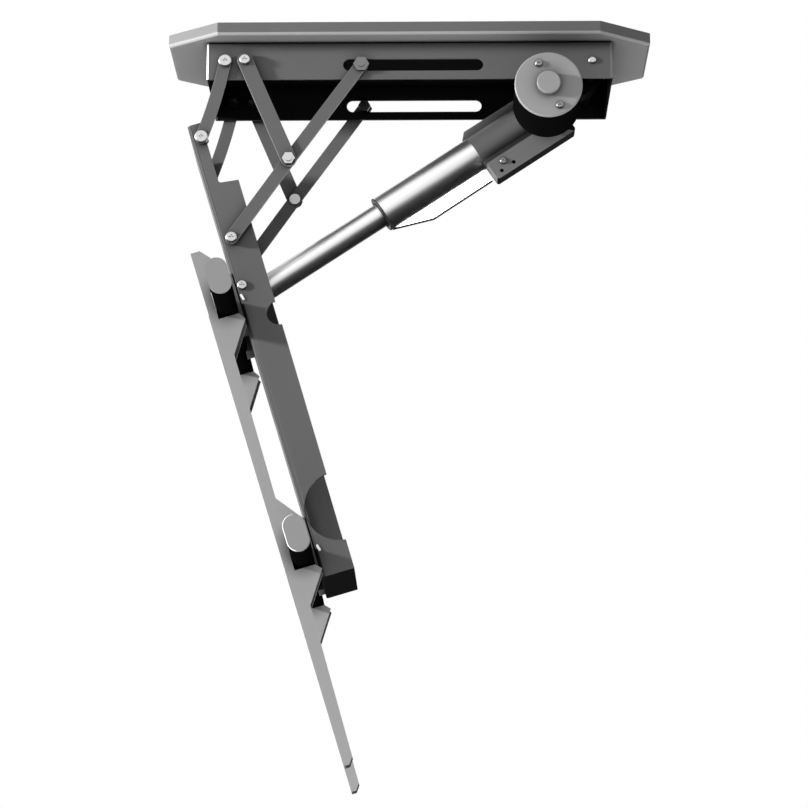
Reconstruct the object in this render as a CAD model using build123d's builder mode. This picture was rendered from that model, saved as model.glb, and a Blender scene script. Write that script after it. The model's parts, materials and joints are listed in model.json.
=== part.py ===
from build123d import *
from math import atan2, cos, degrees, hypot, radians, sin
import os

os.makedirs("parts", exist_ok=True)

# Sizes in millimetres, angles in degrees. X runs along the ceiling plate, Y across it, Z up.
# The origin is the middle of the ceiling plate on the ceiling.

# Ceiling plate and the channel under it
plate_length = 563.6
plate_width = 190.0
plate_depth = 15.0
plate_wall = 2.5
plate_bend = 4.0
plate_corner_x = 60.0
plate_corner_y = 40.0
channel_length = 472.0
channel_width = 141.0
channel_wall = 2.5
channel_bottom = -61.0
channel_bend = 3.0
left_end_lift = 4.5
slot_length = 163.0
slot_height = 14.8

# Ceiling screws and the bolts that join channel and plate
ceiling_pitch_x = 406.4
ceiling_pitch_y = 80.0
ceiling_hole_radius = 5.25
ceiling_spacer_radius = 11.0
channel_bolt_pitch_x = 150.0
channel_bolt_y = 50.0
channel_bolt_radius = 3.0
channel_bolt_head = 5.5
channel_nut_flats = 10.0
channel_nut_height = 5.0
bolt_hole_clearance = 0.1

# Linkage pivots at rest, as X and Z, placed from the channel's ends
channel_left = -channel_length / 2
pivot_height = -39.4
link_a_top = (channel_left + 22.0, pivot_height)
link_b_top = (channel_left + 45.0, pivot_height)
rear_pivot = (-channel_left - 23.3, pivot_height + 0.4)
arm_pivot = (link_a_top[0] - 26.1, pivot_height - 93.2)
knee = (link_a_top[0] + 75.0, pivot_height - 121.6)
slot_pin = (link_a_top[0] + 158.1, pivot_height - 4.9)
slot_centre = (slot_pin[0] + 60.4, pivot_height - 4.2)
arm_tilt = 16.76
arm_link_u = 126.9
front_pivot_u = 183.2
front_pivot_w = -4.0

# Layers across the mount, as distance from the middle plane
arm_wall_inner = 64.5
arm_wall_outer = 67.0
flange_outer = channel_width / 2
flange_inner = flange_outer - channel_wall
inner_link_near = 71.0
inner_link_far = 74.0
outer_link_near = 74.5
outer_link_far = 77.5
running_gap = 0.3

# Links
link_a_width = 14.5
link_a_bow = 2.0
link_b_width = 18.0
link_c_width = 15.0
link_edge = 0.7

# Fasteners
shank_radius = 4.0
bore_clearance = 0.05
large_head_radius = 7.8
small_head_radius = 6.5
head_height = 3.2
head_dome = 1.8
knee_head_height = 2.6
knee_nut_height = 4.5
nut_flats = 13.0
nut_height = 6.5
slot_nut_flats = 16.0
slot_nut_height = 3.0
slot_stud_radius = 3.0
slot_stud_end = 1.2
slot_lock_height = 5.0
thread_end = 1.5
rear_head_radius = 4.6
rear_head_height = 2.6
rear_head_dome = 2.0
socket_flats = 5.0
socket_depth = 1.8
cross_length = 5.6
cross_width = 1.3
spacer_radius = 7.0
clevis_gap = 0.4

# Main arm, measured down the arm (u) and toward the actuator (w)
arm_top = -19.7
arm_bottom = 534.8
arm_back = -12.0
arm_wall = 2.5
arm_bend = 5.0
arm_neck_edge = 4.4
arm_shoulder = 60.0
arm_edge = 27.0
arm_edge_low = 25.6
arm_notch_u = 226.6
arm_notch_radius = 14.0
arm_cutout = (462.0, 29.0)
arm_cutout_radius = 39.0
web_window_top = 118.0
web_window_bottom = 332.0
web_window_half = 26.0

# Rails across the arm
rail_bolt_y = 47.0
rail_bolt_clearance = 0.1
rail_bolt_head = 3.4
rail_nut_height = 6.0
rail_upper_at = (215.4, -28.5)
rail_lower_at = (512.3, -27.0)
rail_long = 40.0
rail_short = 24.0
rail_wall = 2.0
rail_half_length = 230.0
cap_lip = 2.5
cap_overhang = 0.5
cap_plug_wall = 2.0
cap_plug_length = 14.0
saddle_inner = 32.0
saddle_outer = 66.5
saddle_down = 17.0
saddle_up = 49.0
saddle_shelf = 7.0

# Screen brackets that hook over the rails
bracket_centre = 126.0
bracket_width = 28.0
bracket_wall = 2.0
screen_hole_radius = 4.25
screen_hole_u = (263.0, 363.0, 463.0, 663.0)
lock_screw_radius = 4.0
lock_screw_length = 8.2
lock_nut_gap = 2.2
lock_nut_height = 5.0

# Linear actuator, measured from the rear pivot along its axis
tube_radius = 21.0
tube_bore = 18.5
tube_rear = 164.0
tube_front = 295.0
tube_seat = 12.0
rod_radius = 14.5
rod_bore = 11.0
rod_rear = 252.0
rod_to_pin = 17.8
rod_collar = 5.0
rod_plug = 22.0
eye_radius = 14.0
eye_half = 12.0
eye_neck = 16.0
pin_radius = 5.0
pin_reach = 24.2
pin_head_radius = 5.5
pin_head_height = 3.0
stud_tip = 25.0
gland_length = 14.0
gland_lip = 0.6
gland_lip_height = 1.5
gland_clearance = 0.08
seal_wall = 1.2
seal_height = 1.0
nut_collar = 5.0
nut_length = 16.0
barrel_rear = 28.0
barrel_bore = 15.4
lug_half = 10.0
lug_radius = 13.0
bearing_rear = 48.0
bearing_length = 12.0
bearing_radius = 13.0
gear_chamber_radius = 16.5
gear_chamber_half = 13.0
screw_radius = 5.0
screw_rear = 46.0
screw_front = 285.0
screw_bore = 9.0
wheel_radius = 12.5
wheel_half = 6.5
worm_at = 77.2
worm_radius = 5.0
worm_drop = wheel_radius + worm_radius + 0.2
worm_clearance = 1.0
worm_socket_end = 15.0
foot_near = -30.0
foot_far = -8.0
foot_rear = 54.0
foot_top = -25.0
foot_bottom = -48.5
foot_web = 16.0
foot_web_top = -8.0
foot_web_bottom = foot_top - 3.0
foot_screw = (146.7, -32.9)
foot_screw_radius = 2.5
foot_holes = ((137.2, -40.9), (154.6, -41.8))
foot_hole_radius = 2.25
foot_corner = 3.0
ear_near = 8.0
ear_far = 30.0
ear_rear = 80.0
ear_height = 33.3
ear_slope = (7.0, 7.3)
guard_y = 4.0
guard_wall = 1.5
guard_top = -20.9
guard_drop = 37.8
guard_knee = (247.4, -38.35)
guard_front_drop = 21.6
guard_front_gap = 0.5

# Motor in front of the near flange
motor_radius = 38.5
motor_base = -72.0
motor_cap_back = -142.5
motor_cap_front = -146.0
motor_wall = 2.0
motor_rim = 4.0
motor_boss_radius = 13.5
motor_boss_height = 8.0
motor_bore_radius = 4.1
motor_screw_radius = 2.0
motor_screw_head = 4.2
motor_screw_head_height = 2.8
motor_screw_spots = ((-11.0, 24.6), (12.4, -25.5))
motor_neck_width = 20.0
magnet_wall = 6.0
magnet_gap = 22.0
magnet_start = 12.0
magnet_length = 46.0
rotor_gap = 0.6
rotor_start = 14.0
rotor_length = 42.0
commutator_radius = 9.0
commutator_length = 8.0
rotor_shaft_radius = 3.0
rotor_shaft_in = 8.0
rotor_shaft_out = 7.0

tilt_sin = sin(radians(arm_tilt))
tilt_cos = cos(radians(arm_tilt))


def from_arm(u, w):
    """X and Z of a point measured on the arm"""
    return (arm_pivot[0] + u * tilt_sin + w * tilt_cos, arm_pivot[1] - u * tilt_cos + w * tilt_sin)


arm_link_joint = from_arm(arm_link_u, 0)
front_pivot = from_arm(front_pivot_u, front_pivot_w)
actuator_length = hypot(front_pivot[0] - rear_pivot[0], front_pivot[1] - rear_pivot[1])
actuator_x = (front_pivot[0] - rear_pivot[0]) / actuator_length
actuator_z = (front_pivot[1] - rear_pivot[1]) / actuator_length
rod_front = actuator_length - rod_to_pin


def from_actuator(along, perp):
    """X and Z of a point measured on the actuator"""
    x = rear_pivot[0] + along * actuator_x + perp * actuator_z
    z = rear_pivot[1] + along * actuator_z - perp * actuator_x
    return (x, z)


def side_plane(y):
    """plane across Y that extrudes toward the near side, drawn in X and Z"""
    return Plane(origin=(0, y, 0), x_dir=(1, 0, 0), z_dir=(0, -1, 0))


def outward(side, point, y):
    """plane on a point of one side whose normal leaves the middle plane"""
    return Plane(origin=(point[0], side * y, point[1]), x_dir=(1, 0, 0), z_dir=(0, side, 0))


def arm_plane(y):
    """plane drawn in u and w that extrudes toward the near side"""
    origin = (arm_pivot[0], y, arm_pivot[1])
    return Plane(origin=origin, x_dir=(tilt_sin, 0, -tilt_cos), z_dir=(0, -1, 0))


def arm_face(u, w, y):
    """plane square to the arm's back, drawn down the arm and across, normal toward the actuator"""
    x, z = from_arm(u, w)
    return Plane(origin=(x, y, z), x_dir=(tilt_sin, 0, -tilt_cos), z_dir=(tilt_cos, 0, tilt_sin))


def long_edges(arm, w):
    """edges that run down the arm at a given distance from its pivot line"""
    down = Axis((0, 0, 0), (tilt_sin, 0, -tilt_cos))
    return arm.edges().filter_by(down).filter_by(
        lambda edge: abs((edge.center().X - arm_pivot[0]) * tilt_cos
                         + (edge.center().Z - arm_pivot[1]) * tilt_sin - w) < 0.1)


def actuator_plane(y):
    """plane drawn along the actuator and square to it that extrudes toward the far side"""
    origin = (rear_pivot[0], y, rear_pivot[1])
    return Plane(origin=origin, x_dir=(actuator_x, 0, actuator_z), z_dir=(0, 1, 0))


def across_actuator(along):
    """plane square to the actuator's axis, normal toward the rod end"""
    x, z = from_actuator(along, 0)
    return Plane(origin=(x, 0, z), x_dir=(0, 1, 0), z_dir=(actuator_x, 0, actuator_z))


def bar_between(start, end, width):
    """rounded bar between two points of the sketch"""
    middle = ((start[0] + end[0]) / 2, (start[1] + end[1]) / 2)
    length = hypot(end[0] - start[0], end[1] - start[1])
    angle = degrees(atan2(end[1] - start[1], end[0] - start[0]))
    with Locations(middle):
        SlotCenterToCenter(length, width, rotation=angle)


def cut_circles(points, radius):
    """round holes in the sketch"""
    with Locations(*points):
        Circle(radius, mode=Mode.SUBTRACT)


def disc(plane, radius, height):
    """round boss, head or shank standing on a plane"""
    with BuildSketch(plane) as face:
        Circle(radius)
    extrude(face.sketch, amount=height)


def ring(plane, outer, inner, height):
    """round washer, spacer or bush standing on a plane"""
    with BuildSketch(plane) as face:
        Circle(outer)
        Circle(inner, mode=Mode.SUBTRACT)
    extrude(face.sketch, amount=height)


def hex_nut(plane, flats, inner, height):
    """six-sided nut standing on a plane"""
    with BuildSketch(plane) as face:
        RegularPolygon(flats / 2, 6, major_radius=False)
        Circle(inner, mode=Mode.SUBTRACT)
    extrude(face.sketch, amount=height)


def cross_recess(plane, length):
    """crossed driver recess sunk into a head from its outer face"""
    with BuildSketch(plane) as face:
        Rectangle(length, cross_width)
        Rectangle(cross_width, length)
    extrude(face.sketch, amount=-socket_depth, mode=Mode.SUBTRACT)


def socket(plane):
    """six-sided key socket sunk into a head from its outer face"""
    with BuildSketch(plane) as face:
        RegularPolygon(socket_flats / 2, 6, major_radius=False)
    extrude(face.sketch, amount=-socket_depth, mode=Mode.SUBTRACT)


with BuildPart() as ceiling_plate:
    half_x = plate_length / 2
    half_y = plate_width / 2
    with BuildSketch(Plane.XY) as plate_outline:
        with BuildLine():
            Polyline(
                (half_x - plate_corner_x, half_y), (plate_corner_x - half_x, half_y),
                (-half_x, half_y - plate_corner_y), (-half_x, plate_corner_y - half_y),
                (plate_corner_x - half_x, -half_y), (half_x - plate_corner_x, -half_y),
                (half_x, plate_corner_y - half_y), (half_x, half_y - plate_corner_y), close=True)
        make_face()
    extrude(amount=-plate_depth)
    fillet(ceiling_plate.edges().filter_by(Axis.Z), 3.0)
    fillet(ceiling_plate.faces().sort_by(Axis.Z)[0].edges(), plate_bend)
    with BuildSketch(Plane.XY):
        offset(plate_outline.sketch, amount=-plate_wall)
    extrude(amount=plate_wall - plate_depth, mode=Mode.SUBTRACT)
    with BuildSketch(Plane.XY.offset(-plate_depth)):
        with GridLocations(ceiling_pitch_x, ceiling_pitch_y, 2, 2):
            Circle(ceiling_hole_radius)
        with GridLocations(channel_bolt_pitch_x, 2 * channel_bolt_y, 3, 2):
            Circle(channel_bolt_radius + bolt_hole_clearance)
    extrude(amount=plate_wall, mode=Mode.SUBTRACT)

with BuildPart() as ceiling_spacers:
    with BuildSketch(Plane.XY):
        with GridLocations(ceiling_pitch_x, ceiling_pitch_y, 2, 2):
            Circle(ceiling_spacer_radius)
            Circle(ceiling_hole_radius, mode=Mode.SUBTRACT)
    extrude(amount=plate_wall - plate_depth)
    chamfer(ceiling_spacers.faces().sort_by(Axis.Z)[-1].edges().sort_by(SortBy.RADIUS)[-1], 0.6)

with BuildPart() as frame_channel:
    with BuildSketch(Plane.XY.offset(-plate_depth)):
        Rectangle(channel_length, channel_width)
    extrude(amount=channel_bottom + plate_depth)
    fillet(frame_channel.edges().filter_by(Axis.Z), channel_bend)
    fillet(frame_channel.faces().sort_by(Axis.Z)[-1].edges(), channel_bend)
    with BuildSketch(Plane.XY.offset(-plate_depth - channel_wall)):
        RectangleRounded(channel_length - 2 * channel_wall, channel_width - 2 * channel_wall, 1.0)
    extrude(amount=channel_bottom + plate_depth + channel_wall, mode=Mode.SUBTRACT)
    with BuildSketch(side_plane(flange_outer)):
        with Locations(slot_centre):
            SlotOverall(slot_length, slot_height)
        with Locations(link_a_top, link_b_top, rear_pivot):
            Circle(shank_radius + bore_clearance)
    extrude(amount=channel_width, mode=Mode.SUBTRACT)
    with BuildSketch(Plane.XY.offset(-plate_depth - channel_wall)):
        with GridLocations(ceiling_pitch_x, ceiling_pitch_y, 2, 2):
            Circle(ceiling_hole_radius)
        with GridLocations(channel_bolt_pitch_x, 2 * channel_bolt_y, 3, 2):
            Circle(channel_bolt_radius + bolt_hole_clearance)
    extrude(amount=channel_wall, mode=Mode.SUBTRACT)
    with BuildSketch(Plane.XY.offset(channel_bottom)):
        with Locations((-channel_length / 2, 0)):
            Rectangle(4 * channel_wall, 2 * arm_wall_outer + 1.0)
    extrude(amount=left_end_lift, mode=Mode.SUBTRACT)

channel_bolt_spots = []
for bolt_x in (-channel_bolt_pitch_x, 0, channel_bolt_pitch_x):
    for bolt_y in (-channel_bolt_y, channel_bolt_y):
        channel_bolt_spots.append((bolt_x, bolt_y))

with BuildPart() as channel_bolts:
    for bolt_x, bolt_y in channel_bolt_spots:
        under_head = Plane(origin=(bolt_x, bolt_y, -plate_depth - channel_wall), z_dir=(0, 0, -1))
        disc(under_head, channel_bolt_head, head_height)
        disc(under_head, channel_bolt_radius, -channel_wall - plate_wall - channel_nut_height - thread_end)
        socket(under_head.offset(head_height))

with BuildPart() as channel_nuts:
    for bolt_x, bolt_y in channel_bolt_spots:
        nut_seat = Plane(origin=(bolt_x, bolt_y, plate_wall - plate_depth))
        hex_nut(nut_seat, channel_nut_flats, channel_bolt_radius, channel_nut_height)

with BuildPart() as link_a_bolts:
    for side in (-1, 1):
        seat = outward(side, link_a_top, inner_link_far + running_gap)
        disc(seat, large_head_radius, head_height)
        disc(seat, shank_radius, flange_inner - nut_height - thread_end - inner_link_far - running_gap)
    fillet(link_a_bolts.faces().sort_by(Axis.Y)[0].edges(), head_dome)
    fillet(link_a_bolts.faces().sort_by(Axis.Y)[-1].edges(), head_dome)
    for side in (-1, 1):
        cross_recess(outward(side, link_a_top, inner_link_far + running_gap + head_height), cross_length)

with BuildPart() as link_b_bolts:
    for side in (-1, 1):
        seat = outward(side, link_b_top, outer_link_far + running_gap)
        disc(seat, small_head_radius, head_height)
        disc(seat, shank_radius, flange_inner - nut_height - thread_end - outer_link_far - running_gap)
    fillet(link_b_bolts.faces().sort_by(Axis.Y)[0].edges(), head_dome)
    fillet(link_b_bolts.faces().sort_by(Axis.Y)[-1].edges(), head_dome)
    for side in (-1, 1):
        cross_recess(outward(side, link_b_top, outer_link_far + running_gap + head_height), cross_length)

with BuildPart() as link_spacers:
    for side in (-1, 1):
        ring(outward(side, link_b_top, flange_outer), spacer_radius, shank_radius,
             outer_link_near - running_gap - flange_outer)

with BuildPart() as frame_nuts:
    for side in (-1, 1):
        for top in (link_a_top, link_b_top):
            hex_nut(outward(side, top, flange_inner), nut_flats, shank_radius, -nut_height)

with BuildPart() as rear_pivot_pin:
    disc(outward(-1, rear_pivot, flange_outer), rear_head_radius, rear_head_height)
    disc(outward(-1, rear_pivot, flange_outer), shank_radius, -channel_width - nut_height - thread_end)
    fillet(rear_pivot_pin.faces().sort_by(Axis.Y)[0].edges(), rear_head_dome)
    chamfer(rear_pivot_pin.faces().sort_by(Axis.Y)[-1].edges(), 0.6)

with BuildPart() as rear_pivot_nut:
    hex_nut(outward(1, rear_pivot, flange_outer), nut_flats, shank_radius, nut_height)

with BuildPart() as rear_pivot_spacers:
    for side in (-1, 1):
        ring(outward(side, rear_pivot, lug_half + clevis_gap), spacer_radius, shank_radius,
             flange_inner - lug_half - clevis_gap)

link_a_middle = (
    (link_a_top[0] + arm_pivot[0]) / 2 + link_a_bow,
    (link_a_top[1] + arm_pivot[1]) / 2)
link_a_line = ThreePointArc(link_a_top, link_a_middle, arm_pivot)

with BuildPart() as link_a_near:
    with BuildSketch(side_plane(-inner_link_near)):
        SlotArc(link_a_line, link_a_width)
        cut_circles([link_a_top], shank_radius + bore_clearance)
        cut_circles([arm_pivot], shank_radius + bore_clearance)
    extrude(amount=inner_link_far - inner_link_near)
    fillet(link_a_near.faces().sort_by(Axis.Y)[0].outer_wire().edges(), link_edge)

with BuildPart() as link_a_far:
    mirror(link_a_near.part, about=Plane.XZ)

with BuildPart() as link_b_near:
    with BuildSketch(side_plane(-outer_link_near)):
        bar_between(link_b_top, knee, link_b_width)
        cut_circles([link_b_top, knee], shank_radius + bore_clearance)
    extrude(amount=outer_link_far - outer_link_near)
    fillet(link_b_near.faces().sort_by(Axis.Y)[0].outer_wire().edges(), link_edge)

with BuildPart() as link_b_far:
    mirror(link_b_near.part, about=Plane.XZ)

with BuildPart() as link_c_near:
    with BuildSketch(side_plane(-inner_link_near)):
        bar_between(slot_pin, knee, link_c_width)
        bar_between(knee, arm_link_joint, link_c_width)
        cut_circles([slot_pin, knee, arm_link_joint], shank_radius)
    extrude(amount=inner_link_far - inner_link_near)
    fillet(link_c_near.faces().sort_by(Axis.Y)[0].outer_wire().edges(), link_edge)

with BuildPart() as link_c_far:
    mirror(link_c_near.part, about=Plane.XZ)

with BuildPart() as knee_bolts:
    for side in (-1, 1):
        seat = outward(side, knee, inner_link_near)
        disc(seat, small_head_radius, -knee_head_height)
        tip = outer_link_far + running_gap + knee_nut_height + thread_end
        disc(seat, shank_radius, tip - inner_link_near)

with BuildPart() as knee_nuts:
    for side in (-1, 1):
        seat = outward(side, knee, outer_link_far + running_gap)
        hex_nut(seat, nut_flats, shank_radius, knee_nut_height)

with BuildPart() as slot_studs:
    for side in (-1, 1):
        stud_start = flange_inner - running_gap - slot_lock_height - thread_end
        stud_end = inner_link_far + slot_nut_height + slot_stud_end
        disc(outward(side, slot_pin, stud_start), slot_stud_radius, inner_link_near - stud_start)
        disc(outward(side, slot_pin, inner_link_near), shank_radius, stud_end - inner_link_near)

with BuildPart() as slot_nuts:
    for side in (-1, 1):
        hex_nut(outward(side, slot_pin, inner_link_far), slot_nut_flats, shank_radius, slot_nut_height)
        hex_nut(outward(side, slot_pin, flange_inner - running_gap), nut_flats, slot_stud_radius,
                -slot_lock_height)

with BuildPart() as arm_link_bolts:
    for side in (-1, 1):
        seat = outward(side, arm_link_joint, inner_link_far)
        disc(seat, small_head_radius, head_height)
        disc(seat, shank_radius, inner_link_near - inner_link_far)
    fillet(arm_link_bolts.faces().sort_by(Axis.Y)[0].edges(), head_dome)
    fillet(arm_link_bolts.faces().sort_by(Axis.Y)[-1].edges(), head_dome)
    for side in (-1, 1):
        cross_recess(outward(side, arm_link_joint, inner_link_far + head_height), cross_length)

with BuildPart() as main_arm:
    with BuildSketch(arm_plane(arm_wall_outer)) as arm_outline:
        with BuildLine():
            Polyline(
                (arm_top, arm_back), (arm_bottom, arm_back), (arm_bottom, arm_edge_low),
                (arm_shoulder + 170, arm_edge), (arm_shoulder, arm_edge),
                (arm_shoulder - 3, arm_neck_edge), (arm_top, arm_neck_edge), close=True)
        make_face()
        corners = arm_outline.vertices()
        fillet(corners.sort_by_distance((arm_shoulder - 3, arm_neck_edge))[0], 3.0)
        fillet(corners.sort_by_distance((arm_shoulder, arm_edge))[0], 1.5)
        fillet(corners.sort_by_distance((arm_top, arm_neck_edge))[0], 5.0)
        fillet(corners.sort_by_distance((arm_bottom, arm_edge_low))[0], 2.0)
    extrude(amount=2 * arm_wall_outer)
    fillet(long_edges(main_arm, arm_back), arm_bend)
    with BuildSketch(arm_plane(arm_wall_inner)):
        with BuildLine():
            Polyline(
                (arm_top - 1, arm_back + arm_wall), (arm_bottom - arm_wall, arm_back + arm_wall),
                (arm_bottom - arm_wall, arm_edge + 2), (arm_top - 1, arm_edge + 2), close=True)
        make_face()
    extrude(amount=2 * arm_wall_inner, mode=Mode.SUBTRACT)
    fillet(long_edges(main_arm, arm_back + arm_wall), arm_bend - arm_wall)
    with BuildSketch(arm_plane(-arm_wall_inner)):
        with Locations((arm_notch_u, arm_edge)):
            Circle(arm_notch_radius)
        with Locations(arm_cutout):
            Circle(arm_cutout_radius)
    extrude(amount=arm_wall, mode=Mode.SUBTRACT)
    with BuildSketch(arm_plane(arm_wall_outer)):
        with Locations((0, 0), (arm_link_u, 0)):
            Circle(shank_radius)
        with Locations((front_pivot_u, front_pivot_w)):
            Circle(pin_radius)
    extrude(amount=2 * arm_wall_outer, mode=Mode.SUBTRACT)
    window_middle = (web_window_top + web_window_bottom) / 2
    with BuildSketch(arm_face(window_middle, arm_back, 0)):
        RectangleRounded(web_window_bottom - web_window_top, 2 * web_window_half, 8.0)
    extrude(amount=arm_wall, mode=Mode.SUBTRACT)
    for rail_u, rail_w in (rail_upper_at, rail_lower_at):
        with BuildSketch(arm_face(rail_u, arm_back, 0)):
            with Locations((0, -rail_bolt_y), (0, rail_bolt_y)):
                Circle(shank_radius + rail_bolt_clearance)
        extrude(amount=arm_wall, mode=Mode.SUBTRACT)

with BuildPart() as arm_pivot_bolts:
    for side in (-1, 1):
        seat = outward(side, arm_pivot, inner_link_far + running_gap)
        disc(seat, large_head_radius, head_height)
        disc(seat, shank_radius, arm_wall_inner - nut_height - thread_end - inner_link_far - running_gap)
    fillet(arm_pivot_bolts.faces().sort_by(Axis.Y)[0].edges(), head_dome)
    fillet(arm_pivot_bolts.faces().sort_by(Axis.Y)[-1].edges(), head_dome)
    for side in (-1, 1):
        cross_recess(outward(side, arm_pivot, inner_link_far + running_gap + head_height), cross_length)

with BuildPart() as arm_spacers:
    for side in (-1, 1):
        for point in (arm_pivot, arm_link_joint):
            ring(outward(side, point, arm_wall_outer), spacer_radius, shank_radius,
                 inner_link_near - running_gap - arm_wall_outer)

with BuildPart() as arm_link_studs:
    for side in (-1, 1):
        start = inner_link_near - running_gap
        stub = arm_wall_inner - nut_height - thread_end - start
        disc(outward(side, arm_link_joint, start), shank_radius, stub)

with BuildPart() as arm_nuts:
    for side in (-1, 1):
        for point in (arm_pivot, arm_link_joint):
            hex_nut(outward(side, point, arm_wall_inner), nut_flats, shank_radius, -nut_height)

with BuildPart() as front_pivot_studs:
    for side in (-1, 1):
        seat = outward(side, front_pivot, arm_wall_outer)
        disc(seat, pin_head_radius, pin_head_height)
        disc(seat, pin_radius, stud_tip - arm_wall_outer)
    fillet(front_pivot_studs.faces().sort_by(Axis.Y)[0].edges(), 1.4)
    fillet(front_pivot_studs.faces().sort_by(Axis.Y)[-1].edges(), 1.4)
    for side in (-1, 1):
        cross_recess(outward(side, front_pivot, arm_wall_outer + pin_head_height), cross_length)

with BuildPart() as rail_upper:
    with BuildSketch(arm_plane(rail_half_length)):
        with Locations(rail_upper_at):
            SlotOverall(rail_long, rail_short)
            SlotOverall(rail_long - 2 * rail_wall, rail_short - 2 * rail_wall, mode=Mode.SUBTRACT)
    extrude(amount=2 * rail_half_length)
    with BuildSketch(arm_face(rail_upper_at[0], rail_upper_at[1], 0)):
        with Locations((0, -rail_bolt_y), (0, rail_bolt_y)):
            Circle(shank_radius + rail_bolt_clearance)
    extrude(amount=rail_short, mode=Mode.SUBTRACT)

with BuildPart() as rail_lower:
    with BuildSketch(arm_plane(rail_half_length)):
        with Locations(rail_lower_at):
            SlotOverall(rail_long, rail_short)
            SlotOverall(rail_long - 2 * rail_wall, rail_short - 2 * rail_wall, mode=Mode.SUBTRACT)
    extrude(amount=2 * rail_half_length)
    with BuildSketch(arm_face(rail_lower_at[0], rail_lower_at[1], 0)):
        with Locations((0, -rail_bolt_y), (0, rail_bolt_y)):
            Circle(shank_radius + rail_bolt_clearance)
    extrude(amount=rail_short, mode=Mode.SUBTRACT)

with BuildPart() as rail_end_caps:
    for side in (-1, 1):
        for rail_at in (rail_upper_at, rail_lower_at):
            x, z = from_arm(*rail_at)
            end = Plane(origin=(x, side * rail_half_length, z), x_dir=(tilt_sin, 0, -tilt_cos),
                        z_dir=(0, side, 0))
            with BuildSketch(end):
                SlotOverall(rail_long + 2 * cap_overhang, rail_short + 2 * cap_overhang)
            extrude(amount=cap_lip)
            with BuildSketch(end):
                SlotOverall(rail_long - 2 * rail_wall, rail_short - 2 * rail_wall)
                plug_inset = 2 * rail_wall + 2 * cap_plug_wall
                SlotOverall(rail_long - plug_inset, rail_short - plug_inset, mode=Mode.SUBTRACT)
            extrude(amount=-cap_plug_length)
    fillet(rail_end_caps.faces().sort_by(Axis.Y)[0].edges(), 0.9)
    fillet(rail_end_caps.faces().sort_by(Axis.Y)[-1].edges(), 0.9)

with BuildPart() as rail_saddles:
    for rail_u, rail_w in (rail_upper_at, rail_lower_at):
        for side in (-1, 1):
            near_face = max(side * saddle_inner, side * saddle_outer)
            with BuildSketch(arm_plane(near_face)):
                with BuildLine():
                    Polyline(
                        (rail_u - saddle_up, arm_back), (rail_u + saddle_down, arm_back),
                        (rail_u + saddle_down, rail_w), (rail_u - saddle_down, rail_w),
                        (rail_u - rail_short, arm_back - saddle_shelf),
                        (rail_u - saddle_up, arm_back - saddle_shelf / 3), close=True)
                make_face()
                with Locations((rail_u, rail_w)):
                    SlotOverall(rail_long, rail_short, mode=Mode.SUBTRACT)
            extrude(amount=saddle_outer - saddle_inner)
            with BuildSketch(arm_face(rail_u, arm_back, side * rail_bolt_y)):
                Circle(shank_radius + rail_bolt_clearance)
            extrude(amount=rail_w - arm_back, mode=Mode.SUBTRACT)

with BuildPart() as rail_bolts:
    for rail_u, rail_w in (rail_upper_at, rail_lower_at):
        for side in (-1, 1):
            seat = arm_face(rail_u, arm_back + arm_wall, side * rail_bolt_y)
            disc(seat, small_head_radius, rail_bolt_head)
            shank_end = rail_w + rail_short / 2 - rail_wall - rail_nut_height - thread_end
            disc(seat, shank_radius, shank_end - arm_back - arm_wall)
            socket(seat.offset(rail_bolt_head))

with BuildPart() as rail_nuts:
    for rail_u, rail_w in (rail_upper_at, rail_lower_at):
        for side in (-1, 1):
            seat = arm_face(rail_u, rail_w + rail_short / 2 - rail_wall, side * rail_bolt_y)
            hex_nut(seat, nut_flats, shank_radius, -rail_nut_height)

bracket_profile = [
    (153.5, -50.4), (153.5, -39.7), (164.5, -30.3), (191.5, -29.0), (195.1, -31.5), (195.1, -40.9),
    (235.7, -40.9), (235.7, -17.6), (243.6, -12.3), (279.9, -35.5), (449.6, -36.7), (474.5, -18.0),
    (488.5, -18.0), (492.0, -21.5), (492.0, -39.3), (532.7, -39.3), (532.7, -16.0), (539.0, -10.0),
    (574.1, -33.7), (744.0, -36.6), (751.5, -42.0), (751.5, -47.8)]
bracket_tie = [
    (153.5, -50.4), (153.5, -48.4), (751.5, -45.8), (751.5, -47.8)]

with BuildPart() as tv_bracket_near:
    bracket_near_face = -bracket_centre - bracket_width / 2
    for wall_y in (bracket_near_face + bracket_wall, bracket_near_face + bracket_width):
        with BuildSketch(arm_plane(wall_y)):
            with BuildLine():
                Polyline(*bracket_profile, close=True)
            make_face()
        extrude(amount=bracket_wall)
    with BuildSketch(arm_plane(bracket_near_face + bracket_width)):
        with BuildLine():
            Polyline(*bracket_tie, close=True)
        make_face()
    extrude(amount=bracket_width)
    for hole_u in screen_hole_u:
        with BuildSketch(arm_face(hole_u, -60.0, -bracket_centre)):
            Circle(screen_hole_radius)
        extrude(amount=16.0, mode=Mode.SUBTRACT)
    for rail_u, rail_w in (rail_upper_at, rail_lower_at):
        with BuildSketch(arm_face(rail_u, -60.0, -bracket_centre)):
            Circle(lock_screw_radius)
        extrude(amount=16.0, mode=Mode.SUBTRACT)

with BuildPart() as tv_bracket_far:
    mirror(tv_bracket_near.part, about=Plane.XZ)

with BuildPart() as lock_screws_near:
    for rail_u, rail_w in (rail_upper_at, rail_lower_at):
        tip = rail_w - rail_short / 2 - running_gap
        seat = arm_face(rail_u, tip, -bracket_centre)
        disc(seat, lock_screw_radius, -lock_screw_length)
        hex_nut(seat.offset(-lock_nut_gap), nut_flats, lock_screw_radius, -lock_nut_height)
        socket(seat.offset(socket_depth - lock_screw_length))

with BuildPart() as lock_screws_far:
    mirror(lock_screws_near.part, about=Plane.XZ)

motor_centre = from_actuator(worm_at, -worm_drop)

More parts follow.
